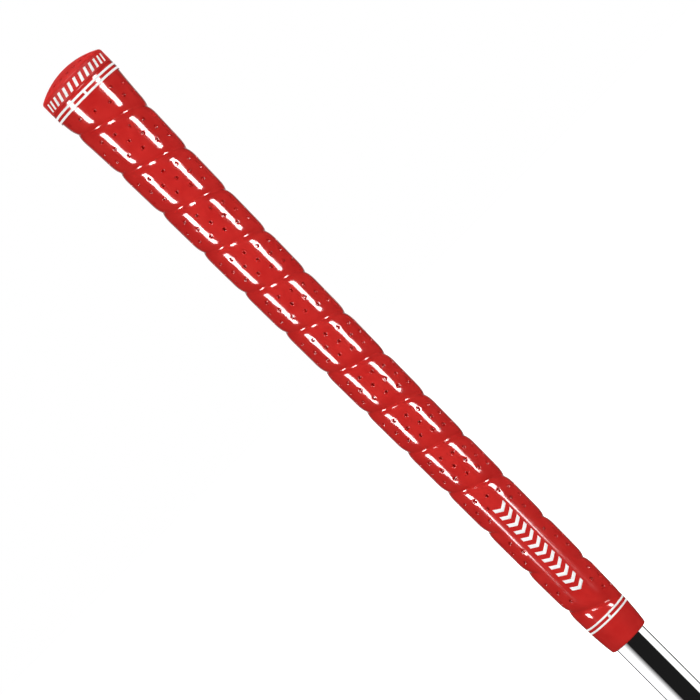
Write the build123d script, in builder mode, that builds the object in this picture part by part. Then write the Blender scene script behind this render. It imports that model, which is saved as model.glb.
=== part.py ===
"""A wrap-pattern golf grip on the butt end of its steel shaft.

The grip stands upright on the part's Z axis: the shaft's cut end is at the origin, the mouth of the grip is
above it, and the domed butt cap is at the top. The front, where the panel motif and the two alignment marks
are, faces -Y. Lengths along the grip are counted down from the top of the dome.
"""

import os
from math import ceil, cos, exp, radians, sin

from build123d import *

# Driving dimensions, mm
GRIP_LENGTH = 266.7  # 10.5 inches from the top of the dome to the mouth
SHAFT_EXPOSED = 45.0  # shaft left showing below the mouth
CAP_RADIUS = 13.4
DOME_HEIGHT = 3.65
CAP_DEPTH = 8.65  # top of the dome to the lower edge of the cap
COLLAR_DEPTH = 12.9  # to the foot of the full-width collar that carries the cap rings
SHAFT_RADIUS = 6.1  # below the grip
BUTT_RADIUS = 7.6  # at the top of the shaft
TUBE_WALL = 0.5
TAPE_THICKNESS = 0.2
SEAM_PITCH = 18.95  # one turn of the wrap
SEAM_START = 23.6  # where the first seam crosses the front
SEAM_RUNS = ((-0.5, 9.89), (10.11, 10.89), (11.11, 12.12))  # turns counted from there; the panel is smooth
SEAM_SPAN = 0.8  # longest stretch of seam cut in one go, in turns

# Smaller sizes, mm
SPIGOT_RADIUS = 10.5  # the cap's foot, keyed into the sleeve
SPIGOT_DEPTH = 10.4
VENT_RADIUS = 1.1
PIT_CIRCLE = 10.7
PIT_COUNT = 22
PIT_RADIUS = 0.6
PIT_DEPTH = 1.0
CAP_RING_WIDTH = 0.8
MOUTH_RING_WIDTH = 0.7
RING_SUNK = 0.35
RING_PROUD = 0.05
CAP_RING_DEPTHS = (10.33, 12.12)  # middles of the two rings
MOUTH_RING_DEPTHS = (255.03, 256.74)
MARK_WIDTH = 0.97
MARK_AZIMUTHS = (-1.1, 2.3)  # degrees round from the front, at the cap and at the mouth
CAP_BARS = 13
CAP_BAR_SPREAD = 128.0  # degrees
CAP_BAR_SIZE = (1.1, 3.1)
CAP_BAR_LEAN = 18.0  # degrees
CAP_BAR_DEPTH = 6.5
CHEVRONS = 12
CHEVRON_PITCH = 3.3
CHEVRON_HALF_WIDTH = 2.45
CHEVRON_POINT = 1.5
CHEVRON_STROKE = 1.4
PANEL_MIDDLE = 223.3
MOTIF_SUNK = 0.25
MOTIF_PROUD = 0.04
BARREL_SPANS = 12
MOUTH_RADIUS = 7.5
MOUTH_SHOULDER_RADIUS = 8.02
MOUTH_SHOULDER_HEIGHT = 4.4
MOUTH_LIP = 1.0  # plain rubber inside the mouth, below the tape
MOUTH_ROUND = 0.7
TAPER_LENGTH = 170.0
TAPE_TUCK = 12.0  # tape folded down inside the tube
GROOVE_HALF_WIDTH = 1.3
GROOVE_DEPTH = 0.7

TOP = SHAFT_EXPOSED + GRIP_LENGTH
MOUTH = SHAFT_EXPOSED
TAPE_TOP = TOP - SPIGOT_DEPTH
TUBE_TOP = TAPE_TOP - TAPE_THICKNESS
TUBE_BORE = SHAFT_RADIUS - TUBE_WALL


def barrel_radius(depth):
    """Outer radius of the sleeve: a long gentle taper, a flare under the cap and a tuck towards the mouth."""
    taper = 12.03 - 0.0222 * depth + 0.0000385 * depth**2
    flare = 1.32 * exp(-(depth - COLLAR_DEPTH) / 14.3)
    tuck = 0.4 * max(0.0, (depth - 225.0) / 30.0) ** 2
    return taper + flare - tuck


def shaft_radius(z):
    """Outer radius of the tube: straight below the mouth, tapered inside the grip, straight at the butt."""
    share = min(max((z - MOUTH) / TAPER_LENGTH, 0.0), 1.0)
    return SHAFT_RADIUS + (BUTT_RADIUS - SHAFT_RADIUS) * share


def seam_point(turns):
    """A point on the seam, a number of turns below where it first crosses the front."""
    depth = SEAM_START + SEAM_PITCH * turns
    azimuth = radians(360 * turns)
    radius = barrel_radius(depth)
    return (radius * sin(azimuth), -radius * cos(azimuth), TOP - depth)


def seam_cutter(first, last):
    """A V-shaped bar along one stretch of the seam, to be cut out of the sleeve."""
    points = 8
    with BuildPart() as cutter:
        with BuildLine() as route:
            Spline([seam_point(first + (last - first) * k / points) for k in range(points + 1)])
        start = route.line @ 0
        across = Plane(origin=start, x_dir=(start.X, start.Y, 0), z_dir=route.line % 0)
        with BuildSketch(across) as notch:
            Polygon(
                (GROOVE_DEPTH, -2 * GROOVE_HALF_WIDTH),
                (GROOVE_DEPTH, 2 * GROOVE_HALF_WIDTH),
                (-GROOVE_DEPTH, 0),
                align=None,
            )
        sweep(path=route.line, is_frenet=True)
    return cutter.part


def is_mouth_corner(edge):
    """True for the outer edge of the sleeve's mouth."""
    return abs(edge.center().Z - MOUTH) < 0.01 and abs(edge.radius - MOUTH_RADIUS) < 0.01


os.makedirs("parts", exist_ok=True)

# Paint rings: filled grooves that stand very slightly proud


def ring_part(depth):
    """One painted ring round the grip, its middle at the given depth."""
    on_cap_collar = depth < COLLAR_DEPTH
    radius = CAP_RADIUS if on_cap_collar else barrel_radius(depth)
    width = CAP_RING_WIDTH if on_cap_collar else MOUTH_RING_WIDTH
    with BuildPart() as ring:
        with BuildSketch(Plane.XZ) as section:
            with Locations((radius + (RING_PROUD - RING_SUNK) / 2, TOP - depth)):
                Rectangle(RING_SUNK + RING_PROUD, width)
        revolve(axis=Axis.Z)
    return ring.part


def alignment_mark_part(depths, azimuth):
    """The short bar that joins a pair of rings, to line the grip up with the club's face."""
    upper, lower = depths
    on_cap_collar = lower < COLLAR_DEPTH
    radius = CAP_RADIUS if on_cap_collar else barrel_radius((upper + lower) / 2)
    height = lower - upper - (CAP_RING_WIDTH if on_cap_collar else MOUTH_RING_WIDTH)
    with BuildPart() as mark:
        with BuildSketch(Plane.XZ) as section:
            with Locations((radius + (RING_PROUD - RING_SUNK) / 2, TOP - (upper + lower) / 2)):
                Rectangle(RING_SUNK + RING_PROUD, height)
        revolve(axis=Axis.Z)
        outward = (sin(radians(azimuth)), -cos(radians(azimuth)), 0)
        with BuildSketch(Plane(origin=(0, 0, 0), x_dir=(0, 0, 1), z_dir=outward)) as bar:
            Rectangle(3 * TOP, MARK_WIDTH)
        extrude(amount=2 * CAP_RADIUS, mode=Mode.INTERSECT)
    return mark.part


cap_ring_upper = ring_part(CAP_RING_DEPTHS[0])
cap_ring_upper.label = "cap_ring_upper"
cap_ring_lower = ring_part(CAP_RING_DEPTHS[1])
cap_ring_lower.label = "cap_ring_lower"
mouth_ring_upper = ring_part(MOUTH_RING_DEPTHS[0])
mouth_ring_upper.label = "mouth_ring_upper"
mouth_ring_lower = ring_part(MOUTH_RING_DEPTHS[1])
mouth_ring_lower.label = "mouth_ring_lower"
cap_alignment_mark = alignment_mark_part(CAP_RING_DEPTHS, MARK_AZIMUTHS[0])
cap_alignment_mark.label = "cap_alignment_mark"
mouth_alignment_mark = alignment_mark_part(MOUTH_RING_DEPTHS, MARK_AZIMUTHS[1])
mouth_alignment_mark.label = "mouth_alignment_mark"

# Cap motif: leaning bars round the front half of the cap's wall
with BuildPart() as cap_motif:
    bar_thickness = MOTIF_SUNK + MOTIF_PROUD
    bar_radius = CAP_RADIUS + MOTIF_PROUD - bar_thickness / 2
    with Locations((0, 0, TOP - CAP_BAR_DEPTH)):
        with PolarLocations(bar_radius, CAP_BARS, -90 - CAP_BAR_SPREAD / 2, CAP_BAR_SPREAD, endpoint=True):
            Box(bar_thickness, *CAP_BAR_SIZE, rotation=(CAP_BAR_LEAN, 0, 0))
cap_motif.part.label = "cap_motif"

# Panel motif: a row of chevrons that point to the mouth, laid into the barrel
with BuildPart() as panel_motif:
    row_half = CHEVRONS * CHEVRON_PITCH / 2 + CHEVRON_POINT
    depths = [PANEL_MIDDLE + share * row_half for share in (-1.0, -0.5, 0.0, 0.5, 1.0)]
    with BuildSketch(Plane.XZ) as skin:
        with BuildLine():
            outer = Spline([(barrel_radius(d) + MOTIF_PROUD, TOP - d) for d in depths])
            inner = Spline([(barrel_radius(d) - MOTIF_SUNK, TOP - d) for d in depths])
            Line(outer @ 0, inner @ 0)
            Line(outer @ 1, inner @ 1)
        make_face()
    revolve(axis=Axis.Z)
    with BuildSketch(Plane.XZ) as chevrons:
        with Locations((0, TOP - PANEL_MIDDLE)):
            with GridLocations(1, CHEVRON_PITCH, 1, CHEVRONS):
                Polygon(
                    (-CHEVRON_HALF_WIDTH, CHEVRON_POINT),
                    (-CHEVRON_HALF_WIDTH, CHEVRON_POINT - CHEVRON_STROKE),
                    (0, -CHEVRON_STROKE),
                    (CHEVRON_HALF_WIDTH, CHEVRON_POINT - CHEVRON_STROKE),
                    (CHEVRON_HALF_WIDTH, CHEVRON_POINT),
                    (0, 0),
                    align=None,
                )
    extrude(amount=2 * CAP_RADIUS, mode=Mode.INTERSECT)
panel_motif.part.label = "panel_motif"

# Butt cap: domed insert with a spigot into the sleeve, a vent through it and a ring of pits in the dome
with BuildPart() as butt_cap:
    with BuildSketch(Plane.XZ) as section:
        with BuildLine():
            rim = (CAP_RADIUS, TOP - DOME_HEIGHT)
            dome_radius = (CAP_RADIUS**2 + DOME_HEIGHT**2) / (2 * DOME_HEIGHT)
            RadiusArc((0, TOP), rim, dome_radius)
            Polyline(
                rim,
                (CAP_RADIUS, TOP - CAP_DEPTH),
                (SPIGOT_RADIUS, TOP - CAP_DEPTH),
                (SPIGOT_RADIUS, TAPE_TOP),
                (0, TAPE_TOP),
                (0, TOP),
            )
        make_face()
    revolve(axis=Axis.Z)
    with Locations((0, 0, TOP)):
        Hole(VENT_RADIUS)
    dome_drop = dome_radius - (dome_radius**2 - PIT_CIRCLE**2) ** 0.5
    with BuildSketch(Plane.XY.offset(TOP)) as pits:
        with PolarLocations(PIT_CIRCLE, PIT_COUNT, -90):
            Circle(PIT_RADIUS)
    extrude(amount=-(dome_drop + PIT_DEPTH), mode=Mode.SUBTRACT)
    add(cap_motif.part, mode=Mode.SUBTRACT)
butt_cap.part.label = "butt_cap"

# Shaft: one thin tube, straight below the mouth, tapered inside the grip
with BuildPart() as shaft_tube:
    with BuildSketch(Plane.XZ) as section:
        taper_top = MOUTH + TAPER_LENGTH
        Polygon(
            (TUBE_BORE, 0),
            (SHAFT_RADIUS, 0),
            (SHAFT_RADIUS, MOUTH),
            (BUTT_RADIUS, taper_top),
            (BUTT_RADIUS, TUBE_TOP),
            (BUTT_RADIUS - TUBE_WALL, TUBE_TOP),
            (BUTT_RADIUS - TUBE_WALL, taper_top),
            (TUBE_BORE, MOUTH),
            align=None,
        )
    revolve(axis=Axis.Z)
shaft_tube.part.label = "shaft_tube"

# Grip tape: lies on the shaft, folds over the tube's end and tucks inside it
with BuildPart() as grip_tape:
    with BuildSketch(Plane.XZ) as section:
        tape_foot = MOUTH + MOUTH_LIP
        tucked = BUTT_RADIUS - TUBE_WALL
        Polygon(
            (shaft_radius(tape_foot), tape_foot),
            (shaft_radius(tape_foot) + TAPE_THICKNESS, tape_foot),
            (BUTT_RADIUS + TAPE_THICKNESS, taper_top),
            (BUTT_RADIUS + TAPE_THICKNESS, TAPE_TOP),
            (tucked - TAPE_THICKNESS, TAPE_TOP),
            (tucked - TAPE_THICKNESS, TUBE_TOP - TAPE_TUCK),
            (tucked, TUBE_TOP - TAPE_TUCK),
            (tucked, TUBE_TOP),
            (BUTT_RADIUS, TUBE_TOP),
            (BUTT_RADIUS, taper_top),
            align=None,
        )
    revolve(axis=Axis.Z)
grip_tape.part.label = "grip_tape"

# Sleeve: the rubber moulding, with the seam of the wrap pattern running round it as a left-hand helix
with BuildPart() as grip_sleeve:
    with BuildSketch(Plane.XZ) as section:
        with BuildLine():
            barrel_foot = MOUTH_RING_DEPTHS[1] + MOUTH_RING_WIDTH
            step = (barrel_foot - COLLAR_DEPTH) / BARREL_SPANS
            depths = [COLLAR_DEPTH + step * count for count in range(BARREL_SPANS + 1)]
            barrel = Spline([(barrel_radius(d), TOP - d) for d in depths])
            shoulder = (MOUTH_SHOULDER_RADIUS, MOUTH + MOUTH_SHOULDER_HEIGHT)
            mouth_taper = ThreePointArc(barrel @ 1, shoulder, (MOUTH_RADIUS, MOUTH))
            Polyline(
                mouth_taper @ 1,
                (SHAFT_RADIUS, MOUTH),
                (shaft_radius(tape_foot), tape_foot),
                (shaft_radius(tape_foot) + TAPE_THICKNESS, tape_foot),
                (BUTT_RADIUS + TAPE_THICKNESS, taper_top),
                (BUTT_RADIUS + TAPE_THICKNESS, TAPE_TOP),
                (SPIGOT_RADIUS, TAPE_TOP),
                (SPIGOT_RADIUS, TOP - CAP_DEPTH),
                (CAP_RADIUS, TOP - CAP_DEPTH),
                (CAP_RADIUS, TOP - COLLAR_DEPTH),
                barrel @ 0,
            )
        make_face()
    revolve(axis=Axis.Z)
    fillet(edges().filter_by(GeomType.CIRCLE).filter_by(is_mouth_corner), MOUTH_ROUND)
    for inlay in (cap_ring_upper, cap_ring_lower, cap_alignment_mark, mouth_ring_upper, mouth_ring_lower):
        add(inlay, mode=Mode.SUBTRACT)
    add(mouth_alignment_mark, mode=Mode.SUBTRACT)
    add(panel_motif.part, mode=Mode.SUBTRACT)
    for run_start, run_end in SEAM_RUNS:
        spans = ceil((run_end - run_start) / SEAM_SPAN)
        span = (run_end - run_start) / spans
        for count in range(spans):
            add(seam_cutter(run_start + span * count, run_start + span * (count + 1)), mode=Mode.SUBTRACT)
grip_sleeve.part.label = "grip_sleeve"

for node in (
    grip_sleeve.part, butt_cap.part, cap_motif.part, panel_motif.part, cap_ring_upper, cap_ring_lower,
    cap_alignment_mark, mouth_ring_upper, mouth_ring_lower, mouth_alignment_mark, grip_tape.part,
    shaft_tube.part,
):
    export_step(node, f"parts/{node.label}.step")
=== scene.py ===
"""The looks of a wrap-pattern golf grip on the butt end of its shaft.

The grip stands along +Z with its domed cap at the top and its front towards -Y. Depths are counted in
millimetres down from the top of the dome, and azimuths in degrees from the front, positive towards +X.
Every piece is made of points placed by azimuth, depth and radius, and turned into metres by point_at().
"""

from math import atan2, cos, degrees, exp, hypot, pi, radians, sin, sqrt, tan

import bpy
from mathutils import Matrix, Vector


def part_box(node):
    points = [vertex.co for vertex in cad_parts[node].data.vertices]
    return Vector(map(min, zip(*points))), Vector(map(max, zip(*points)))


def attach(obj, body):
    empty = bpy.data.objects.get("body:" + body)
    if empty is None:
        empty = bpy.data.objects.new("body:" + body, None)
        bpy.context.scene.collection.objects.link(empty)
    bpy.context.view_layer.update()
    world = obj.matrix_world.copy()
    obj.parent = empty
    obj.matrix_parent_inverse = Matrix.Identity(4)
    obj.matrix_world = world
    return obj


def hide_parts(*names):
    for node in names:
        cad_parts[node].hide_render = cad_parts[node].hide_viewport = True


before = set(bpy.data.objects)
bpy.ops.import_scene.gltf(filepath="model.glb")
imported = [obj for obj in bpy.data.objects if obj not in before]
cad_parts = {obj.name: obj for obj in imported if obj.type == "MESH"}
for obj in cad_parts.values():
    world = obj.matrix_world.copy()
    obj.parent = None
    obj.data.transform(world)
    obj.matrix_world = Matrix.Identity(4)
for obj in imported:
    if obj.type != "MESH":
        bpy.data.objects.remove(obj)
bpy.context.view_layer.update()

# Driving dimensions, mm
MM = 0.001
GRIP_LENGTH = 266.7
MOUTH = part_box("grip_sleeve")[0].z / MM
TOP = MOUTH + GRIP_LENGTH
CAP_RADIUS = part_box("butt_cap")[1].x / MM
SHAFT_RADIUS = 6.1
BUTT_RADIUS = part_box("shaft_tube")[1].x / MM
TUBE_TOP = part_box("shaft_tube")[1].z / MM
TAPE_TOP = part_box("grip_tape")[1].z / MM
TAPE_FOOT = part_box("grip_tape")[0].z / MM
TAPE_THICKNESS = TAPE_TOP - TUBE_TOP
TUBE_WALL = 0.5
TAPER_LENGTH = 170.0

# Cap, mm
DOME_HEIGHT = 3.65
DOME_RADIUS = (CAP_RADIUS**2 + DOME_HEIGHT**2) / (2 * DOME_HEIGHT)
CAP_DEPTH = 8.65
SPIGOT_RADIUS = 10.5
SPIGOT_DEPTH = 10.4
VENT_RADIUS = 1.1
PIT_CIRCLE = 10.7
PIT_COUNT = 22
DOME_PIT_RADIUS = 0.74
DOME_PIT_DEPTH = 1.2
DOME_PIT_CELL = 0.42
DOME_EDGE = 12.6  # distance from the axis of the last mesh line before the rim
RIM_ROUNDING = 0.7
JOINT_ROUNDING = 0.15  # of the cap's lower edge
CAP_COLUMNS = 8 * PIT_COUNT

# Sleeve, mm
COLLAR_DEPTH = 12.9
FOOT_DEPTH = 254.2  # where the wrap pattern ends, above the mouth rings
FOOT_EASE = 0.12
MOUTH_RADIUS = 7.5
MOUTH_ROUNDING = 0.6
MOUTH_STEPS = 12
BORE_EASE = 0.25
COLLAR_ROUNDING = 0.3
COLLAR_EASE = 0.15
SEAM_PITCH = 18.95
SEAM_START = 23.6  # where the first seam crosses the front
SEAM_DEPTH = 0.68
LAST_SEAM_DEPTH = 0.85
DEEPENING = (238.0, 248.0)  # depths between which the seam reaches its last depth
SEAM_FLOOR = 0.3  # half the width of the seam's flat floor
ROLL_OFF = 4.3  # how far the roll-off reaches on both sides of a seam
LAST_SEAM = (243.0, 249.0)  # depths between which the seam turns into a step with a short ramp below it
STEP_WIDTH = 0.45
STEP_SHARE = 0.45
RAMP = 3.0
RUN_OUT = (251.5, FOOT_DEPTH)  # where the seam loses this share of its depth, above the mouth rings
RUN_OUT_SHARE = 0.75
PANEL = (200.0, 246.0)  # the smooth panel at the lower front
PANEL_ENDS = 5.0  # how softly it starts and ends
PANEL_PIT_FREE = (203.0, 247.0)  # where it keeps the pits away, out to the azimuth below
PANEL_PIT_AZIMUTH = 30.0
PANEL_SEAM_FADE = (34.0, 58.0)  # azimuths between which the seams fade out

# Paint, mm
PAINT_PROUD = 0.05
PAINT_SUNK = 0.3


def depths_of(node):
    """Depths of the upper and the lower end of a CAD node."""
    low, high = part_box(node)
    return TOP - high.z / MM, TOP - low.z / MM


CAP_RINGS = {name: depths_of(name) for name in ("cap_ring_upper", "cap_ring_lower")}
MOUTH_RINGS = {name: depths_of(name) for name in ("mouth_ring_upper", "mouth_ring_lower")}


# Shape


def smooth(value, low, high):
    """0 below low, 1 above high and a smooth rise between."""
    share = min(max((value - low) / (high - low), 0.0), 1.0)
    return share * share * (3 - 2 * share)


def point_at(azimuth, depth, radius):
    """The point in metres at an azimuth in degrees, and a depth and a radius in millimetres."""
    turn = radians(azimuth)
    return (radius * sin(turn) * MM, -radius * cos(turn) * MM, (TOP - depth) * MM)


def barrel_radius(depth):
    """Outer radius of the sleeve: a long taper, a flare under the cap and a tuck towards the mouth."""
    taper = 12.03 - 0.0222 * depth + 0.0000385 * depth**2
    flare = 1.32 * exp(-(depth - COLLAR_DEPTH) / 14.3)
    tuck = 0.4 * max(0.0, (depth - 225.0) / 30.0) ** 2
    return taper + flare - tuck


MOUTH_START = MOUTH_RINGS["mouth_ring_lower"][1] + 0.3


def mouth_radius(depth):
    """Outer radius of the collar below the mouth rings."""
    share = max(0.0, (depth - MOUTH_START) / (GRIP_LENGTH - MOUTH_START))
    return barrel_radius(MOUTH_START) - (barrel_radius(MOUTH_START) - MOUTH_RADIUS) * (share + share**2) / 2


def shaft_radius(depth):
    """Outer radius of the tube: straight below the mouth, tapered inside the grip, straight at the butt."""
    share = min(max((GRIP_LENGTH - depth) / TAPER_LENGTH, 0.0), 1.0)
    return SHAFT_RADIUS + (BUTT_RADIUS - SHAFT_RADIUS) * share


def front_angle(azimuth):
    """How far an azimuth is from the front, either way."""
    return abs((azimuth + 180.0) % 360.0 - 180.0)


def wrap_radius(azimuth, depth):
    """Outer radius of the wrapped barrel, with the seam pressed into it."""
    turns = (depth - SEAM_START) / SEAM_PITCH - azimuth / 360.0
    below = (turns - round(turns)) * SEAM_PITCH
    off_floor = max(0.0, abs(below) - SEAM_FLOOR)
    roll = max(0.0, 1.0 - off_floor / ROLL_OFF) ** 3
    if below > 0:
        step = STEP_SHARE * max(0.0, 1.0 - off_floor / STEP_WIDTH)
        ramp = (1.0 - STEP_SHARE) * max(0.0, 1.0 - off_floor / RAMP) ** 1.5
        roll += (step + ramp - roll) * smooth(depth - below, *LAST_SEAM)
    deep = SEAM_DEPTH + (LAST_SEAM_DEPTH - SEAM_DEPTH) * smooth(depth, *DEEPENING)
    deep *= 1.0 - RUN_OUT_SHARE * smooth(depth, *RUN_OUT)
    start, end = PANEL
    in_panel = smooth(depth, start, start + PANEL_ENDS) - smooth(depth, end - PANEL_ENDS, end)
    deep *= 1.0 - in_panel * (1.0 - smooth(front_angle(azimuth), *PANEL_SEAM_FADE))
    return barrel_radius(depth) - deep * roll


# Meshes


class Shell:
    """Points and faces of one mesh. A point is found again by its key, so neighbouring faces share it."""

    def __init__(self):
        self.points = []
        self.faces = []
        self.index = {}

    def point(self, key, place=None):
        """The number of the point with this key, which is placed the first time it is asked for."""
        if key not in self.index:
            self.index[key] = len(self.points)
            self.points.append(place)
        return self.index[key]

    def face(self, corners):
        """A face, without repeated corners. One with fewer than three is left out."""
        kept = [c for i, c in enumerate(corners) if c != corners[i - 1]]
        if len(set(kept)) > 2:
            self.faces.append(kept)

    def band(self, first, second):
        """Quads between two closed loops of as many points."""
        for i in range(len(first)):
            j = (i + 1) % len(first)
            self.face([first[i], second[i], second[j], first[j]])

    def piece(self, name, material, slot, replaced=(), sharp=35.0):
        """Makes the Blender object, smooth except at edges sharper than the given angle."""
        mesh = bpy.data.meshes.new(name)
        mesh.from_pydata(self.points, [], self.faces)
        mesh.validate()
        mesh.shade_smooth()
        mesh.set_sharp_from_angle(angle=radians(sharp))
        mesh.materials.append(material)
        made = bpy.data.objects.new(name, mesh)
        bpy.context.scene.collection.objects.link(made)
        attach(made, "root")
        if replaced:
            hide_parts(*replaced)
        return made


PIT_HALF = 2  # half the side of the square of cells that a pit takes
PIT_PROFILE = ((1.0, 0.03), (0.82, 0.22), (0.62, 0.8), (0.42, 1.0))  # shares of its radius and of its depth


def pit_square():
    """The edge of a pit's square of cells, as steps across and along from the pit's centre."""
    h = PIT_HALF
    steps = range(-h, h)
    square = [(-h, j) for j in steps] + [(i, h) for i in steps]
    return square + [(h, -j) for j in steps] + [(-i, -h) for i in steps]


def pit(shell, name, rim, offsets, place, radius, sunk):
    """Fills a hole in a grid with a round pit. rim is the hole's edge, and offsets says how far each of its
    points is from the pit's centre, across and along. place(across, along, sink) gives a point that lies
    sink below the surface."""
    loops = [rim]
    for level, (reach, drop) in enumerate(PIT_PROFILE):
        loop = []
        for i, (across, along) in enumerate(offsets):
            scale = reach * radius / hypot(across, along)
            loop.append(shell.point((name, level, i), place(across * scale, along * scale, drop * sunk)))
        loops.append(loop)
    for outer, inner in zip(loops, loops[1:]):
        shell.band(inner, outer)
    centre = shell.point((name, "centre"), place(0, 0, sunk))
    for i, corner in enumerate(loops[-1]):
        shell.face([corner, loops[-1][(i + 1) % len(rim)], centre])


# Sleeve

COLUMNS = 162  # round the barrel
COARSE = 2  # columns in one step where no pits are
PIT_STEP = 12  # columns from one row of pits to the next
PIT_FIRST = 9
PIT_LEAN = 4  # columns that the outer pits of a row stand off its middle one
PIT_RADIUS = 0.72
PIT_DEPTH = 0.85
PIT_LINES = (0.265, 0.49, 0.716)  # where the pits stand between one seam and the next
PIT_CELL = 0.4
COLLAR_CLEARANCE = 1.8  # between the collar and the middle of a pit
FOOT_CLEARANCE = 2.0
SEAM_LINES = (SEAM_FLOOR, 0.55, 0.95, 1.45, 2.05, 2.8, 3.6)  # mesh lines on both sides of a seam


def strip_lines():
    """Distances below the seam of the mesh lines that run along the strip, the lines of the pits' middles,
    and the rows of cells, between one line and the next, that are as fine as the pits need."""
    lines = list(SEAM_LINES)
    middles = []
    for share in PIT_LINES:
        centre = share * SEAM_PITCH
        start = centre - PIT_HALF * PIT_CELL
        if middles:
            lines.append((lines[-1] + start) / 2)
        middles.append(len(lines) + PIT_HALF)
        lines += [start + PIT_CELL * k for k in range(2 * PIT_HALF + 1)]
    lines += [SEAM_PITCH - line for line in reversed(SEAM_LINES)]
    fine = (len(SEAM_LINES), len(lines) - len(SEAM_LINES) - 1)
    return lines, middles, fine


def has_pit(azimuth, depth):
    """True where the wrap has a pit: clear of the collar, the mouth rings and the smooth panel."""
    start, end = PANEL_PIT_FREE
    on_panel = start < depth < end and front_angle(azimuth) < PANEL_PIT_AZIMUTH
    return COLLAR_DEPTH + COLLAR_CLEARANCE < depth < FOOT_DEPTH - FOOT_CLEARANCE and not on_panel


def strip_place(column, line):
    """Azimuth and depth on the strip, at a column and a distance below the seam."""
    azimuth = 360.0 * column / COLUMNS
    return azimuth % 360.0, SEAM_START + azimuth / 360.0 * SEAM_PITCH + line


def strip_pits(first, last, lines, middles):
    """The strip's pits between two columns, as (column, row, azimuth, depth)."""
    pits = []
    for number in range(first // PIT_STEP, last // PIT_STEP + 1):
        for row, lean in zip(middles, (-PIT_LEAN, 0, PIT_LEAN)):
            column = PIT_FIRST + PIT_STEP * number + lean
            azimuth, depth = strip_place(column, lines[row])
            if has_pit(azimuth, depth):
                pits.append((column, row, azimuth, depth))
    return pits


def coarse_faces(column, row, fine):
    """One row of the strip across a coarse step of columns, as the (column, row) corners of its faces.
    Next to the fine rows, two columns meet one."""
    half, far, below = column + 1, column + COARSE, row + 1
    if row == fine[0] - 1:
        return [
            [(column, row), (column, below), (half, below)],
            [(column, row), (half, below), (far, row)],
            [(far, row), (half, below), (far, below)],
        ]
    if row == fine[1]:
        return [
            [(column, row), (column, below), (half, row)],
            [(half, row), (column, below), (far, below)],
            [(half, row), (far, below), (far, row)],
        ]
    return [[(column, row), (column, below), (far, below), (far, row)]]


def wrapped_barrel(shell):
    """The barrel's strip, wound as a left-hand helix, cut off square at the collar and at the mouth rings.
    Returns its top and bottom edges as {column: point}."""
    lines, middles, fine = strip_lines()
    edges = {"top": {}, "foot": {}}
    on_edge = set()

    def corner(column, row):
        if row == len(lines):
            column, row = column + COLUMNS, 0
        azimuth, depth = strip_place(column, lines[row])
        if COLLAR_DEPTH < depth < FOOT_DEPTH:
            place = point_at(azimuth, depth, wrap_radius(azimuth, depth))
            return shell.point(("strip", column, row), place)
        end, depth = ("top", COLLAR_DEPTH) if depth <= COLLAR_DEPTH else ("foot", FOOT_DEPTH)
        spot = column % COLUMNS
        number = shell.point((end, spot), point_at(azimuth, depth, wrap_radius(azimuth, depth)))
        edges[end][spot] = number
        on_edge.add(number)
        return number

    def cell(corners):
        numbers = [corner(*c) for c in corners]
        if not on_edge.issuperset(numbers):
            shell.face(numbers)

    first = int(COLUMNS * (COLLAR_DEPTH - SEAM_START) / SEAM_PITCH) - 2 * COLUMNS
    last = int(COLUMNS * (FOOT_DEPTH - SEAM_START) / SEAM_PITCH) + COLUMNS
    first -= first % COARSE
    pits = strip_pits(first, last, lines, middles)
    span = range(-PIT_HALF, PIT_HALF)
    taken = {(column + i, row + j) for column, row, _, _ in pits for j in span for i in span}
    for column in range(first, last, COARSE):
        for row in range(len(lines)):
            if fine[0] <= row < fine[1]:
                for c in (column, column + 1):
                    if (c, row) not in taken:
                        cell([(c, row), (c, row + 1), (c + 1, row + 1), (c + 1, row)])
            else:
                for corners in coarse_faces(column, row, fine):
                    cell(corners)
    for column, row, azimuth, depth in pits:
        fill_pit(shell, corner, column, row, azimuth, depth)
    return edges


def fill_pit(shell, corner, column, row, azimuth, depth):
    """One pit of the wrap, in the square of cells round its column and row."""
    rim = [corner(column + i, row + j) for i, j in pit_square()]
    radius = barrel_radius(depth)
    degree = radians(1.0) * radius
    offsets = []
    for number in rim:
        x, y, z = shell.points[number]
        turn = (atan2(x, -y) - radians(azimuth) + pi) % (2 * pi) - pi
        offsets.append((turn * radius, TOP - z / MM - depth))

    def place(across, along, sink):
        spot = azimuth + across / degree
        return point_at(spot, depth + along, barrel_radius(depth + along) - sink)

    pit(shell, ("pit", column, row), rim, offsets, place, PIT_RADIUS, PIT_DEPTH)


def even_loop(shell, radius, depth):
    """A round loop of points, one at every coarse column, keyed by its radius and depth."""
    spots = range(0, COLUMNS, COARSE)
    return [
        shell.point(("loop", s, radius, depth), point_at(360.0 * s / COLUMNS, depth, radius)) for s in spots
    ]


def join_edge(shell, edge, loop, edge_above):
    """Joins an edge of the barrel, which may have a point at every column, to a loop of coarse columns."""
    count = len(loop)
    for i, here in enumerate(loop):
        there = loop[(i + 1) % count]
        left, right = edge[COARSE * i], edge[COARSE * (i + 1) % COLUMNS]
        half = edge.get(COARSE * i + 1)
        ring = [left, right] if half is None else [left, half, right]
        shell.face([here, there] + ring[::-1] if edge_above else ring + [there, here])


def groove(radius, upper, lower):
    """Outline of the groove that a painted ring fills."""
    sunk = radius - PAINT_SUNK
    return [(radius, upper), (sunk, upper), (sunk, lower), (radius, lower)]


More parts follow.
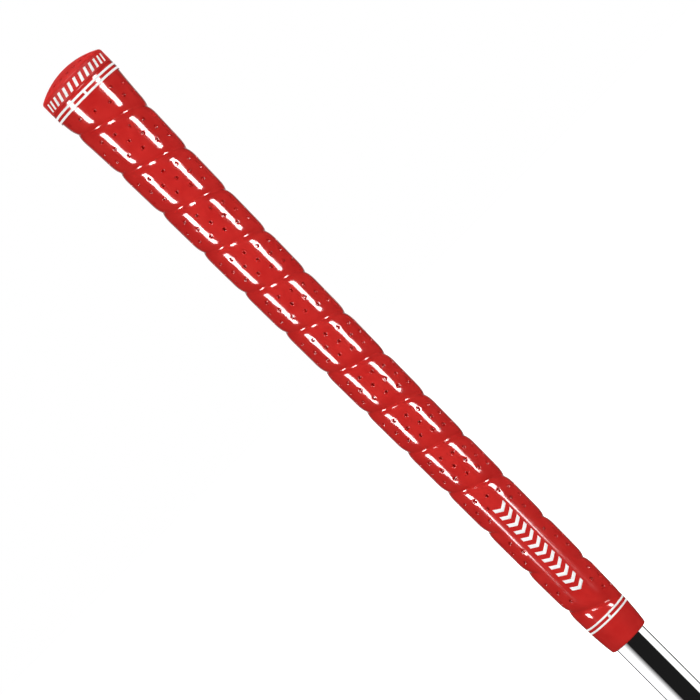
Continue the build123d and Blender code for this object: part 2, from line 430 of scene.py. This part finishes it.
def collar_and_mouth():
    """Outline of the outside below the wrap: the mouth rings' grooves, the collar and the rounded mouth."""
    outline = [(barrel_radius(FOOT_DEPTH), FOOT_DEPTH + FOOT_EASE)]
    for upper, lower in MOUTH_RINGS.values():
        outline += groove(barrel_radius((upper + lower) / 2), upper, lower)
    end = GRIP_LENGTH - MOUTH_ROUNDING
    for k in range(MOUTH_STEPS + 1):
        depth = MOUTH_START + (end - MOUTH_START) * k / MOUTH_STEPS
        outline.append((mouth_radius(depth), depth))
    steps = 4
    for k in range(1, steps + 1):
        turn = radians(90.0 * k / steps)
        radius = mouth_radius(end) - MOUTH_ROUNDING * (1 - cos(turn))
        outline.append((radius, end + MOUTH_ROUNDING * sin(turn)))
    return outline


def sleeve_bore():
    """Outline of the inside: bare rubber at the mouth, the tape's room above it, and the cap's seat."""
    tape_foot = TOP - TAPE_FOOT
    foot_radius = shaft_radius(tape_foot)
    bore = BUTT_RADIUS + TAPE_THICKNESS
    outline = [(SHAFT_RADIUS + BORE_EASE, GRIP_LENGTH), (SHAFT_RADIUS, GRIP_LENGTH - BORE_EASE)]
    outline += [(foot_radius, tape_foot), (foot_radius + TAPE_THICKNESS, tape_foot)]
    outline += [(bore, GRIP_LENGTH - TAPER_LENGTH), (bore, SPIGOT_DEPTH)]
    return outline + [(SPIGOT_RADIUS, SPIGOT_DEPTH), (SPIGOT_RADIUS, CAP_DEPTH)]


def grip_sleeve(material):
    """The whole moulding: wrapped barrel, collars with grooves for the paint, mouth, bore and cap seat."""
    shell = Shell()
    edges = wrapped_barrel(shell)
    top_edge = (CAP_RADIUS, CAP_DEPTH)
    outline = collar_and_mouth() + sleeve_bore()
    outline += rounded(top_edge, (SPIGOT_RADIUS, CAP_DEPTH), (CAP_RADIUS, COLLAR_DEPTH), COLLAR_ROUNDING)
    for upper, lower in CAP_RINGS.values():
        outline += groove(CAP_RADIUS, upper, lower)
    outline += [(CAP_RADIUS, COLLAR_DEPTH - COLLAR_EASE), (CAP_RADIUS - COLLAR_EASE, COLLAR_DEPTH)]
    loops = [even_loop(shell, *place) for place in outline]
    join_edge(shell, edges["foot"], loops[0], edge_above=True)
    for upper, lower in zip(loops, loops[1:]):
        shell.band(upper, lower)
    join_edge(shell, edges["top"], loops[-1], edge_above=False)
    return shell.piece("sleeve_skin", material, "sleeve_rubber", ["grip_sleeve"])


# Turned pieces


def lathe(shell, outline, columns):
    """Turns an outline of (radius, depth) points round the axis. Returns a loop of points for each."""
    loops = []
    for row, (radius, depth) in enumerate(outline):
        loop = []
        for column in range(columns):
            loop.append(shell.point((row, column), point_at(360.0 * column / columns, depth, radius)))
        loops.append(loop)
    return loops


def rounded(corner, before, after, size, steps=4):
    """Points that round off an outline's corner, on its way from the point before to the point after."""
    corner, before, after = Vector(corner), Vector(before), Vector(after)
    start = corner + (before - corner).normalized() * size
    end = corner + (after - corner).normalized() * size
    points = []
    for k in range(steps + 1):
        t = k / steps
        points.append(tuple((1 - t) ** 2 * start + 2 * t * (1 - t) * corner + t**2 * end))
    return points


def dome_depth(radius):
    """Depth of the dome's surface at a distance from the axis."""
    return DOME_RADIUS - sqrt(DOME_RADIUS**2 - radius**2)


def cap_outline():
    """Outline of the cap, from the vent over the dome, the rim and the wall to the spigot and its foot."""
    vent_edge = dome_depth(VENT_RADIUS)
    outline = [(VENT_RADIUS, vent_edge + 0.25), (VENT_RADIUS + 0.08, vent_edge + 0.07)]  # an eased edge
    stations = [1.5, 2.5, 3.8, 5.2, 6.8, 8.2, PIT_CIRCLE - 3 * DOME_PIT_CELL]
    stations += [PIT_CIRCLE + DOME_PIT_CELL * k for k in range(-PIT_HALF, PIT_HALF + 1)]
    stations += [PIT_CIRCLE + 3.2 * DOME_PIT_CELL, DOME_EDGE]
    outline += [(r, dome_depth(r)) for r in stations]
    margin = 1.2  # wall left plain next to both of its rounded edges
    wall_top, wall_foot = (CAP_RADIUS, DOME_HEIGHT + margin), (CAP_RADIUS, CAP_DEPTH - margin)
    spigot_top = (SPIGOT_RADIUS, CAP_DEPTH)
    outline += rounded((CAP_RADIUS, DOME_HEIGHT), outline[-1], wall_top, RIM_ROUNDING)
    outline += [wall_top, wall_foot]
    outline += rounded((CAP_RADIUS, CAP_DEPTH), wall_foot, spigot_top, JOINT_ROUNDING, 2)
    return outline + [spigot_top, (SPIGOT_RADIUS, SPIGOT_DEPTH), (VENT_RADIUS, SPIGOT_DEPTH)]


def butt_cap(material):
    """The domed cap: a vent through its middle, a ring of pits, a soft rim, a wall, and a spigot below."""
    shell = Shell()
    outline = cap_outline()
    pit_row = outline.index((PIT_CIRCLE, dome_depth(PIT_CIRCLE)))
    loops = lathe(shell, outline, CAP_COLUMNS)
    span = range(-PIT_HALF, PIT_HALF)
    taken = set()
    for middle in range(0, CAP_COLUMNS, CAP_COLUMNS // PIT_COUNT):
        taken |= {((middle + i) % CAP_COLUMNS, pit_row + j) for i in span for j in span}
        dome_pit(shell, loops, middle, pit_row)
    for row, (near, far) in enumerate(zip(loops, loops[1:] + loops[:1])):
        for column in range(CAP_COLUMNS):
            if (column, row) not in taken:
                beside = (column + 1) % CAP_COLUMNS
                shell.face([near[column], far[column], far[beside], near[beside]])
    return shell.piece("cap_skin", material, "cap_rubber", ["butt_cap"], sharp=50.0)


def dome_pit(shell, loops, column, row):
    """One small pit in the dome, in the square of cells round its column and row."""
    rim = [loops[row + j][(column + i) % CAP_COLUMNS] for i, j in pit_square()]
    turn = 2 * pi * column / CAP_COLUMNS
    offsets = []
    for number in rim:
        x, y = shell.points[number][0] / MM, shell.points[number][1] / MM
        offsets.append((x * cos(turn) + y * sin(turn), x * sin(turn) - y * cos(turn) - PIT_CIRCLE))

    def place(across, along, sink):
        radius = PIT_CIRCLE + along
        reach = hypot(radius, across)
        spot = column * 360.0 / CAP_COLUMNS + degrees(atan2(across, radius))
        return point_at(spot, dome_depth(reach) + sink, reach)

    pit(shell, ("pit", column), rim, offsets, place, DOME_PIT_RADIUS, DOME_PIT_DEPTH)


def closed_lathe(name, outline, columns, material, slot, replaced, sharp=35.0):
    """A piece turned from a closed outline of (radius, depth) points, listed down its outside first."""
    shell = Shell()
    loops = lathe(shell, outline, columns)
    for near, far in zip(loops, loops[1:] + loops[:1]):
        shell.band(near, far)
    return shell.piece(name, material, slot, replaced, sharp)


def paint_ring(node, radius, upper, lower, material):
    """One painted ring: a filled groove whose paint stands very slightly proud, with soft edges."""
    sunk, lip, face = radius - PAINT_SUNK, radius + 0.6 * PAINT_PROUD, radius + PAINT_PROUD
    lip_in, face_in = 0.06, 0.2
    outline = [(sunk, upper), (radius, upper), (lip, upper + lip_in), (face, upper + face_in)]
    outline += [(face, lower - face_in), (lip, lower - lip_in), (radius, lower), (sunk, lower)]
    return closed_lathe(node + "_paint", outline, COLUMNS, material, "white_paint", [node], sharp=80.0)


def patch(shell, name, across, along, place):
    """A thin closed pad of paint. place(u, v, lift) gives a point of it, with u and v from 0 to 1."""
    grid = {}
    for i in range(across + 1):
        for j in range(along + 1):
            at_edge = i in (0, across) or j in (0, along)
            for side, lift in (("face", 0.0 if at_edge else PAINT_PROUD), ("base", -PAINT_SUNK)):
                grid[side, i, j] = shell.point((name, side, i, j), place(i / across, j / along, lift))
    for i in range(across):
        for j in range(along):
            corners = [(i, j), (i, j + 1), (i + 1, j + 1), (i + 1, j)]
            shell.face([grid["face", *c] for c in corners])
            shell.face([grid["base", *c] for c in reversed(corners)])
    border = [(0, j) for j in range(along)] + [(i, along) for i in range(across)]
    border += [(across, along - j) for j in range(along)] + [(across - i, 0) for i in range(across)]
    for here, there in zip(border, border[1:] + border[:1]):
        shell.face([grid["face", *there], grid["face", *here], grid["base", *here], grid["base", *there]])


# Paint motifs

MARK_WIDTH = 0.97
CAP_MARK_AZIMUTH = -1.1
MOUTH_MARK_AZIMUTH = 2.3
CAP_BARS = 13
CAP_BAR_SPREAD = 128.0
CAP_BAR_WIDTH = 1.1
CAP_BAR_HEIGHT = 3.1
CAP_BAR_LEAN = 18.0
CAP_BAR_DEPTH = 6.5
CHEVRONS = 12
CHEVRON_PITCH = 3.3
CHEVRON_HALF_WIDTH = 2.45
CHEVRON_POINT = 1.5
CHEVRON_STROKE = 1.4
PANEL_MIDDLE = 223.3


def alignment_mark(node, azimuth, radius, material):
    """The short bar between a pair of rings."""
    upper, lower = depths_of(node)
    degree = radians(1.0) * radius
    shell = Shell()

    def place(u, v, lift):
        spot = azimuth + (u - 0.5) * MARK_WIDTH / degree
        return point_at(spot, upper + (lower - upper) * v, radius + lift)

    patch(shell, "mark", 6, 4, place)
    return shell.piece(node + "_paint", material, "white_paint", [node], sharp=80.0)


def cap_motif(material):
    """A row of leaning bars round the front half of the cap's wall."""
    shell = Shell()
    degree = radians(1.0) * CAP_RADIUS
    lean = tan(radians(CAP_BAR_LEAN))
    for number in range(CAP_BARS):
        azimuth = (number / (CAP_BARS - 1) - 0.5) * CAP_BAR_SPREAD

        def place(u, v, lift):
            along = (v - 0.5) * CAP_BAR_HEIGHT
            across = (u - 0.5) * CAP_BAR_WIDTH - along * lean
            return point_at(azimuth + across / degree, CAP_BAR_DEPTH + along, CAP_RADIUS + lift)

        patch(shell, number, 6, 12, place)
    return shell.piece("cap_motif_paint", material, "white_paint", ["cap_motif"], sharp=80.0)


def panel_motif(material):
    """A row of chevrons along the smooth panel, pointing to the mouth."""
    shell = Shell()
    for number in range(CHEVRONS):
        middle = PANEL_MIDDLE + (number - (CHEVRONS - 1) / 2) * CHEVRON_PITCH

        def place(u, v, lift):
            across = (2 * u - 1) * CHEVRON_HALF_WIDTH
            depth = middle - CHEVRON_POINT * abs(2 * u - 1) + CHEVRON_STROKE * v
            radius = barrel_radius(depth)
            return point_at(across / (radians(1.0) * radius), depth, radius + lift)

        patch(shell, number, 24, 8, place)
    return shell.piece("panel_motif_paint", material, "white_paint", ["panel_motif"], sharp=80.0)


# Shaft and tape

TUBE_COLUMNS = 192
TAPE_TUCK = 12.0
TAPE_STEP = 21.0  # from one turn of the tape to the next
TAPE_OVERLAP = 4.0
TAPE_EDGE = 1.2  # how softly an edge of the tape shows through the turn on top
TAPE_RELIEF = 0.06  # how much lower the tape lies where it is single
TAPE_ROWS = 180
TAPE_COLUMNS = 96


def shaft_tube(material):
    """The steel tube, with its cut end lightly eased."""
    end = TOP
    taper_top = GRIP_LENGTH - TAPER_LENGTH
    top = TOP - TUBE_TOP
    bore = SHAFT_RADIUS - TUBE_WALL
    ease = 0.08
    outline = [(BUTT_RADIUS - ease, top), (BUTT_RADIUS, top + ease), (BUTT_RADIUS, taper_top)]
    outline += [(SHAFT_RADIUS, GRIP_LENGTH), (SHAFT_RADIUS, end - ease), (SHAFT_RADIUS - ease, end)]
    outline += [(bore + ease, end), (bore, end - ease), (bore, GRIP_LENGTH)]
    outline += [(BUTT_RADIUS - TUBE_WALL, taper_top), (BUTT_RADIUS - TUBE_WALL, top)]
    return closed_lathe("shaft_steel", outline, TUBE_COLUMNS, material, "chromed_steel", ["shaft_tube"])


def tape_relief(azimuth, depth):
    """How far the tape's outside lies below its overlaps at a place."""
    wound = (depth / TAPE_STEP - azimuth / 360.0) % 1.0 * TAPE_STEP
    past_overlap = smooth(wound, TAPE_OVERLAP - TAPE_EDGE, TAPE_OVERLAP)
    at_next_edge = smooth(wound, TAPE_STEP - TAPE_EDGE, TAPE_STEP)
    return TAPE_RELIEF * (past_overlap - at_next_edge)


def grip_tape(material):
    """The tape on the shaft, wound with an overlap, folded over the tube's end and tucked inside it."""
    foot, top = TOP - TAPE_FOOT, TOP - TUBE_TOP
    tucked, inside = BUTT_RADIUS - TUBE_WALL, BUTT_RADIUS - TUBE_WALL - TAPE_THICKNESS
    ease = 0.1
    step = (foot - top) / TAPE_ROWS
    depths = [top + step * k for k in range(TAPE_ROWS + 1)]
    outline = [(shaft_radius(d) + TAPE_THICKNESS, d) for d in depths]
    taper_top = GRIP_LENGTH - TAPER_LENGTH
    outline += [(shaft_radius(foot), foot), (BUTT_RADIUS, taper_top), (BUTT_RADIUS, top), (tucked, top)]
    outline += [(tucked, top + TAPE_TUCK), (inside, top + TAPE_TUCK)]
    outline += [(inside, SPIGOT_DEPTH + ease), (inside + ease, SPIGOT_DEPTH)]
    outline += [(BUTT_RADIUS + TAPE_THICKNESS - ease, SPIGOT_DEPTH)]
    shell = Shell()
    loops = lathe(shell, outline, TAPE_COLUMNS)
    for loop, (radius, depth) in zip(loops[: TAPE_ROWS + 1], outline):
        for column, number in enumerate(loop):
            azimuth = 360.0 * column / TAPE_COLUMNS
            shell.points[number] = point_at(azimuth, depth, radius - tape_relief(azimuth, depth))
    for near, far in zip(loops, loops[1:] + loops[:1]):
        shell.band(near, far)
    return shell.piece("tape_wrap", material, "grip_tape", ["grip_tape"])


# Materials


class Material:
    """A node material round one Principled shader, with short helpers for its nodes."""

    def __init__(self, name, **settings):
        self.made = bpy.data.materials.new(name)
        self.made.use_nodes = True
        self.nodes = self.made.node_tree.nodes
        self.links = self.made.node_tree.links
        self.shader = self.nodes["Principled BSDF"]
        self.spot = self.node("ShaderNodeTexCoord").outputs["Object"]
        for socket, value in settings.items():
            self.shader.inputs[socket.replace("_", " ")].default_value = value

    def node(self, kind, **inputs):
        """A node of a kind, with values or links for its inputs. In their names _ stands for a space."""
        made = self.nodes.new(kind)
        for socket, value in inputs.items():
            self.feed(made.inputs[socket.replace("_", " ")], value)
        return made

    def feed(self, socket, value):
        """Links a socket to another node's output, or sets its value."""
        if isinstance(value, bpy.types.NodeSocket):
            self.links.new(value, socket)
        else:
            socket.default_value = value

    def noise(self, size, detail=2.0, stretch=(1.0, 1.0, 1.0)):
        """Noise from 0 to 1 with features of a size in millimetres."""
        spot = self.node("ShaderNodeMapping", Vector=self.spot, Scale=stretch).outputs["Vector"]
        made = self.node("ShaderNodeTexNoise", Vector=spot, Scale=1.0 / (size * MM), Detail=detail)
        return made.outputs["Fac"]

    def between(self, share, low, high, start=0.3, end=0.7):
        """A number that goes from low to high as share goes from start to end."""
        made = self.node("ShaderNodeMapRange", Value=share)
        for socket, value in zip(("From Min", "From Max", "To Min", "To Max"), (start, end, low, high)):
            made.inputs[socket].default_value = value
        return made.outputs["Result"]

    def mix(self, share, first, second):
        """One colour turning into another."""
        made = self.nodes.new("ShaderNodeMix")
        made.data_type = "RGBA"
        self.feed(made.inputs["Factor"], share)
        self.feed(made.inputs["A"], first)
        self.feed(made.inputs["B"], second)
        return made.outputs["Result"]

    def bump(self, height, depth, normal=None):
        """A bump of a depth in millimetres from heights between 0 and 1."""
        made = self.node("ShaderNodeBump", Height=height, Distance=depth * MM, Strength=1.0)
        if normal is not None:
            self.links.new(normal, made.inputs["Normal"])
        return made.outputs["Normal"]

    def set(self, socket, value):
        """Feeds one of the shader's own sockets."""
        self.feed(self.shader.inputs[socket], value)


def red_rubber(name, deep, bright, roughness, gloss, grain, coat):
    """Moulded red rubber: mottled colour, uneven gloss, grain of a depth in mm, and a polished coat."""
    rubber = Material(name, IOR=1.52, Specular_IOR_Level=gloss)
    for socket, value in (("Coat Weight", coat), ("Coat Roughness", 0.08), ("Coat IOR", 1.5)):
        rubber.set(socket, value)
    mottle = rubber.noise(6.0, 3.0)
    rubber.set("Base Color", rubber.mix(rubber.between(mottle, 0.0, 1.0), deep, bright))
    rubber.set("Roughness", rubber.between(rubber.noise(2.5), roughness - 0.03, roughness + 0.05))
    fine_grain = rubber.noise(0.35, 3.0)
    waviness = rubber.bump(rubber.noise(5.0, 1.0), 0.008)
    rubber.set("Normal", rubber.bump(fine_grain, grain, waviness))
    return rubber.made


def white_paint():
    """Paint laid into the moulding: off-white, satin, with a faint unevenness."""
    paint = Material("white_paint", IOR=1.48, Specular_IOR_Level=0.25)
    paint.set("Base Color", paint.mix(paint.noise(1.5), (0.93, 0.93, 0.925, 1), (0.97, 0.97, 0.965, 1)))
    paint.set("Roughness", paint.between(paint.noise(1.0), 0.38, 0.5))
    paint.set("Normal", paint.bump(paint.noise(0.3), 0.006))
    return paint.made


def chrome():
    """Bright chrome plate with very faint polishing marks round the tube."""
    plate = Material("chromed_steel", Metallic=1.0)
    plate.set("Base Color", plate.mix(plate.noise(8.0), (0.90, 0.90, 0.91, 1), (0.93, 0.93, 0.935, 1)))
    plate.set("Roughness", plate.between(plate.noise(3.0, 2.0, (1, 1, 12)), 0.03, 0.06))
    return plate.made


def crepe_paper():
    """Creped masking-type tape: warm buff with fine cross ridges."""
    paper = Material("grip_tape", Roughness=0.85)
    crepe = paper.noise(0.5, 4.0, (1, 1, 5))
    paper.set("Base Color", paper.mix(crepe, (0.62, 0.52, 0.36, 1), (0.80, 0.72, 0.55, 1)))
    paper.set("Normal", paper.bump(crepe, 0.08))
    return paper.made


# Camera, in mm and degrees, light and floor

EYE_DISTANCE = 1330.0
EYE_DEPTH = 92.8
TARGET_DEPTH = 133.0
TARGET_ACROSS = 1.66
VIEW_WIDTH = 232.75  # what the picture's width takes in at the grip
ROLL = 44.9
SENSOR = 36.0
ROOM = 0.012  # what reflections see all round
BACKDROP = 0.35  # what they see behind the grip
FILL = 0.1  # what lights the grip from all round
CEILING = 0.9  # and from above
CARD_BRIGHTNESS = 1.12


def camera():
    """A long lens far in front, rolled so that the grip crosses the picture from corner to corner."""
    data = bpy.data.cameras.new("camera")
    data.sensor_width = SENSOR
    data.lens = SENSOR * EYE_DISTANCE / VIEW_WIDTH
    data.clip_end = 20.0
    made = bpy.data.objects.new("camera", data)
    bpy.context.scene.collection.objects.link(made)
    eye = Vector((TARGET_ACROSS, -EYE_DISTANCE, TOP - EYE_DEPTH)) * MM
    target = Vector((TARGET_ACROSS, 0, TOP - TARGET_DEPTH)) * MM
    made.rotation_mode = "QUATERNION"
    made.location = eye
    level = (target - eye).to_track_quat("-Z", "Y")
    made.rotation_quaternion = level @ Matrix.Rotation(radians(-ROLL), 3, "Z").to_quaternion()
    bpy.context.scene.camera = made


def softbox(name, azimuth, height, distance, width, length, brightness):
    """A rectangular light that faces the grip's axis. Its height, distance and size are in metres."""
    data = bpy.data.lights.new(name, "AREA")
    data.shape = "RECTANGLE"
    data.size, data.size_y = width, length
    data.energy = pi * width * length * brightness
    made = bpy.data.objects.new(name, data)
    bpy.context.scene.collection.objects.link(made)
    turn = radians(azimuth)
    place = Vector((distance * sin(turn), -distance * cos(turn), height))
    aim = Vector((0, 0, min(height, TOP * MM)))
    made.rotation_mode = "QUATERNION"
    made.location = place
    made.rotation_quaternion = (aim - place).to_track_quat("-Z", "Y")
    made.visible_camera = False
    return made


def spare(light, piece):
    """Keeps a light off one piece."""
    spared = bpy.data.collections.new(light.name + "_spares")
    spared.objects.link(piece)
    spared.collection_objects[0].light_linking.link_state = "EXCLUDE"
    light.light_linking.receiver_collection = spared


def strip_light(name, azimuth, lean, foot, shaft):
    """A tall strip light, in steps, down to the height of its foot. Downwards it narrows and leans towards
    the front by some degrees. It is kept off the shaft, whose chrome shows the dark room there."""
    distance, width, brightness = 0.9, 0.24, 22.0
    heights = (0.42, 0.2, 0.12, 0.06, 0.03, 0.01, foot)
    shares = (1.0, 1.0, 1.0, 0.6, 0.3, 0.18)
    for k, (upper, lower, share) in enumerate(zip(heights, heights[1:], shares)):
        turned = azimuth - lean * k / (len(shares) - 1)
        middle, height = (upper + lower) / 2, upper - lower
        spare(softbox(f"{name}_{k}", turned, middle, distance, width * share, height, brightness), shaft)


def chrome_card(name, first, last, shaft, share=1.0):
    """A tall white card between two azimuths, which lights the shaft and nothing else."""
    distance, height, length = 0.9, -0.1, 1.2
    width = 2 * distance * tan(radians(abs(last - first) / 2))
    card = softbox(name, (first + last) / 2, height, distance, width, length, CARD_BRIGHTNESS * share)
    lit = bpy.data.collections.new(name)
    lit.objects.link(shaft)
    card.light_linking.receiver_collection = lit


def chrome_cards(shaft):
    """White cards on both sides of the shaft. The left one fades out towards the front."""
    chrome_card("card_right", 72.0, 137.0, shaft)
    chrome_card("card_left", -141.0, -64.0, shaft)
    steps = 5
    first, last = -64.0, -37.0
    for k in range(steps):
        start = first + (last - first) * k / steps
        end = first + (last - first) * (k + 1) / steps
        chrome_card(f"card_left_{k}", start, end, shaft, 1 - (k + 1) / (steps + 1))


def studio():
    """The surroundings: white to the camera, a dark room with a grey backdrop in reflections, and soft
    light from above."""
    world = bpy.data.worlds.new("studio")
    bpy.context.scene.world = world
    world.use_nodes = True
    nodes, links = world.node_tree.nodes, world.node_tree.links
    nodes.clear()

    def shade(colour):
        made = nodes.new("ShaderNodeBackground")
        if isinstance(colour, float):
            made.inputs["Color"].default_value = (colour, colour, colour, 1)
        else:
            links.new(colour, made.inputs["Color"])
        return made.outputs["Background"]

    def pick(ray, other, chosen):
        made = nodes.new("ShaderNodeMixShader")
        links.new(path.outputs[ray], made.inputs["Fac"])
        links.new(other, made.inputs[1])
        links.new(chosen, made.inputs[2])
        return made.outputs["Shader"]

    path = nodes.new("ShaderNodeLightPath")
    split = nodes.new("ShaderNodeSeparateXYZ")
    links.new(nodes.new("ShaderNodeTexCoord").outputs["Generated"], split.inputs["Vector"])

    def brightening(axis, start, end, low, high):
        made = nodes.new("ShaderNodeMapRange")
        links.new(split.outputs[axis], made.inputs["Value"])
        settings = {"From Min": start, "From Max": end, "To Min": low, "To Max": high}
        for socket, value in settings.items():
            made.inputs[socket].default_value = value
        return made.outputs["Result"]

    above = shade(brightening("Z", 0.8, 0.95, FILL, CEILING))
    behind = shade(brightening("Y", 0.86, 0.97, ROOM, BACKDROP))
    room = pick("Is Glossy Ray", above, behind)
    seen = pick("Is Camera Ray", room, shade(1.0))
    links.new(seen, nodes.new("ShaderNodeOutputWorld").inputs["Surface"])


def studio_floor():
    """A plain white floor under the shaft's end. It is left out of reflections, which show the studio."""
    mesh = bpy.data.meshes.new("floor")
    reach = 6.0
    corners = [(-reach, -reach, 0), (reach, -reach, 0), (reach, reach, 0), (-reach, reach, 0)]
    mesh.from_pydata(corners, [], [(0, 1, 2, 3)])
    made = bpy.data.objects.new("floor", mesh)
    bpy.context.scene.collection.objects.link(made)
    white = Material("floor", Roughness=1.0, Emission_Strength=1.0)
    white.set("Base Color", (0.5, 0.5, 0.5, 1))
    white.set("Emission Color", (1, 1, 1, 1))
    mesh.materials.append(white.made)
    made.visible_glossy = False
    made.visible_diffuse = False
    made.visible_shadow = False


# The grip, assembled

camera()
studio()
studio_floor()
sleeve_red = red_rubber(
    "sleeve_rubber",
    deep=(0.55, 0.018, 0.016, 1),
    bright=(0.62, 0.026, 0.022, 1),
    roughness=0.13,
    gloss=0.4,
    grain=0.0005,
    coat=0.9,
)
cap_red = red_rubber(
    "cap_rubber",
    deep=(0.54, 0.018, 0.016, 1),
    bright=(0.60, 0.024, 0.021, 1),
    roughness=0.45,
    gloss=0.15,
    grain=0.006,
    coat=0.0,
)
paint = white_paint()

grip_sleeve(sleeve_red)
butt_cap(cap_red)
for node, (upper, lower) in CAP_RINGS.items():
    paint_ring(node, CAP_RADIUS, upper, lower, paint)
for node, (upper, lower) in MOUTH_RINGS.items():
    paint_ring(node, barrel_radius((upper + lower) / 2), upper, lower, paint)
alignment_mark("cap_alignment_mark", CAP_MARK_AZIMUTH, CAP_RADIUS, paint)
mouth_mark_radius = barrel_radius(sum(depths_of("mouth_alignment_mark")) / 2)
alignment_mark("mouth_alignment_mark", MOUTH_MARK_AZIMUTH, mouth_mark_radius, paint)
cap_motif(paint)
panel_motif(paint)
shaft = shaft_tube(chrome())
grip_tape(crepe_paper())

strip_light("strip_right", azimuth=50.0, lean=7.0, foot=-0.004, shaft=shaft)
strip_light("strip_left", azimuth=-57.0, lean=0.0, foot=-0.018, shaft=shaft)
chrome_cards(shaft)
glint = softbox("glint_light", 0.0, height=0.86, distance=0.62, width=0.26, length=0.38, brightness=22.0)
glint.visible_diffuse = False
dome = softbox("dome_light", 180.0, height=1.1, distance=0.2, width=0.4, length=0.4, brightness=12.0)
dome.visible_glossy = False
for name, azimuth in (("rim_light_right", 150.0), ("rim_light_left", -150.0)):
    rim = softbox(name, azimuth, height=0.15, distance=0.9, width=0.3, length=0.9, brightness=5.0)
    rim.visible_glossy = False

bpy.context.scene.view_settings.view_transform = "Standard"
